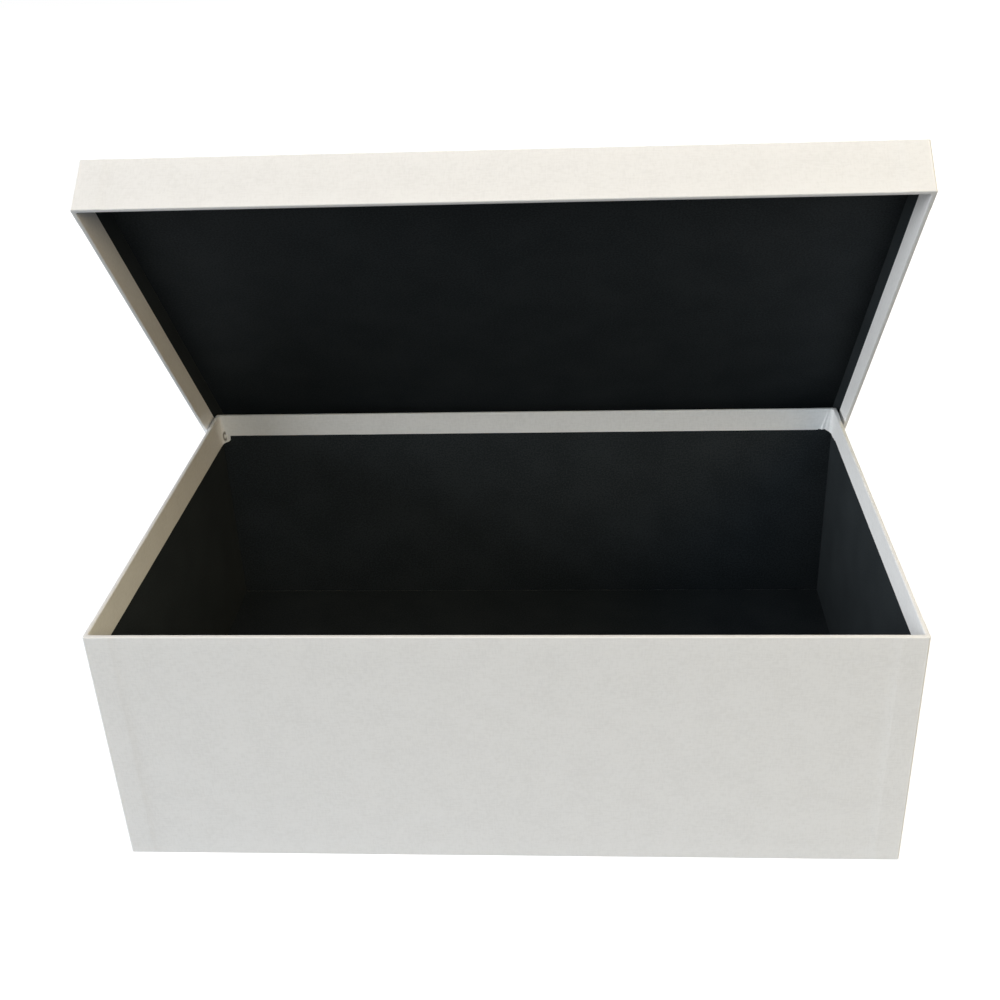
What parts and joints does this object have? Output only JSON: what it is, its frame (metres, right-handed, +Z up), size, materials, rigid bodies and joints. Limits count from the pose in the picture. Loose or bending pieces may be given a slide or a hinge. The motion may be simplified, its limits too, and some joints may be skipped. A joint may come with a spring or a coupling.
{
  "type": "cardboard box",
  "caption": "Rigid rectangular box for papers and keepsakes: a deep tray of grey board wrapped in white paper, lined black, with a shallow lift-off lid tipped open over the rear wall.",
  "frame": {"origin": "centre of the base's underside, on the surface it stands on", "axes": "+X to the right along the box's width, +Y from the front wall to the rear wall, +Z up"},
  "size_m": [0.3574, 0.2478, 0.2936],
  "materials": {
    "white_wrap": "matt white covering paper with a fine grain",
    "black_lining": "matt black lining paper",
    "grey_board": "uncoated grey board",
    "gummed_tape": "gummed kraft paper tape"
  },
  "bodies": {
    "base": {"base_bottom_board": "grey_board", "base_bottom_lining": "black_lining", "base_front_board": "grey_board", "base_front_left_tape": "gummed_tape", "base_front_lining": "black_lining", "base_front_right_tape": "gummed_tape", "base_left_board": "grey_board", "base_left_lining": "black_lining", "base_rear_board": "grey_board", "base_rear_left_tape": "gummed_tape", "base_rear_lining": "black_lining", "base_rear_right_tape": "gummed_tape", "base_right_board": "grey_board", "base_right_lining": "black_lining", "base_underside_sheet": "white_wrap", "base_wrap": "white_wrap"},
    "lid": {"lid_front_board": "grey_board", "lid_front_left_tape": "gummed_tape", "lid_front_lining": "black_lining", "lid_front_right_tape": "gummed_tape", "lid_left_board": "grey_board", "lid_left_lining": "black_lining", "lid_rear_board": "grey_board", "lid_rear_left_tape": "gummed_tape", "lid_rear_lining": "black_lining", "lid_rear_right_tape": "gummed_tape", "lid_right_board": "grey_board", "lid_right_lining": "black_lining", "lid_top_board": "grey_board", "lid_top_lining": "black_lining", "lid_wrap": "white_wrap"}
  },
  "joints": [
    {"name": "lid_tilt", "type": "hinge", "parent": "base", "child": "lid", "pos_m": [0, 0.1129, 0.0957], "axis": [-1, 0, 0], "range_deg": [-52.4, 22.6]}
  ]
}
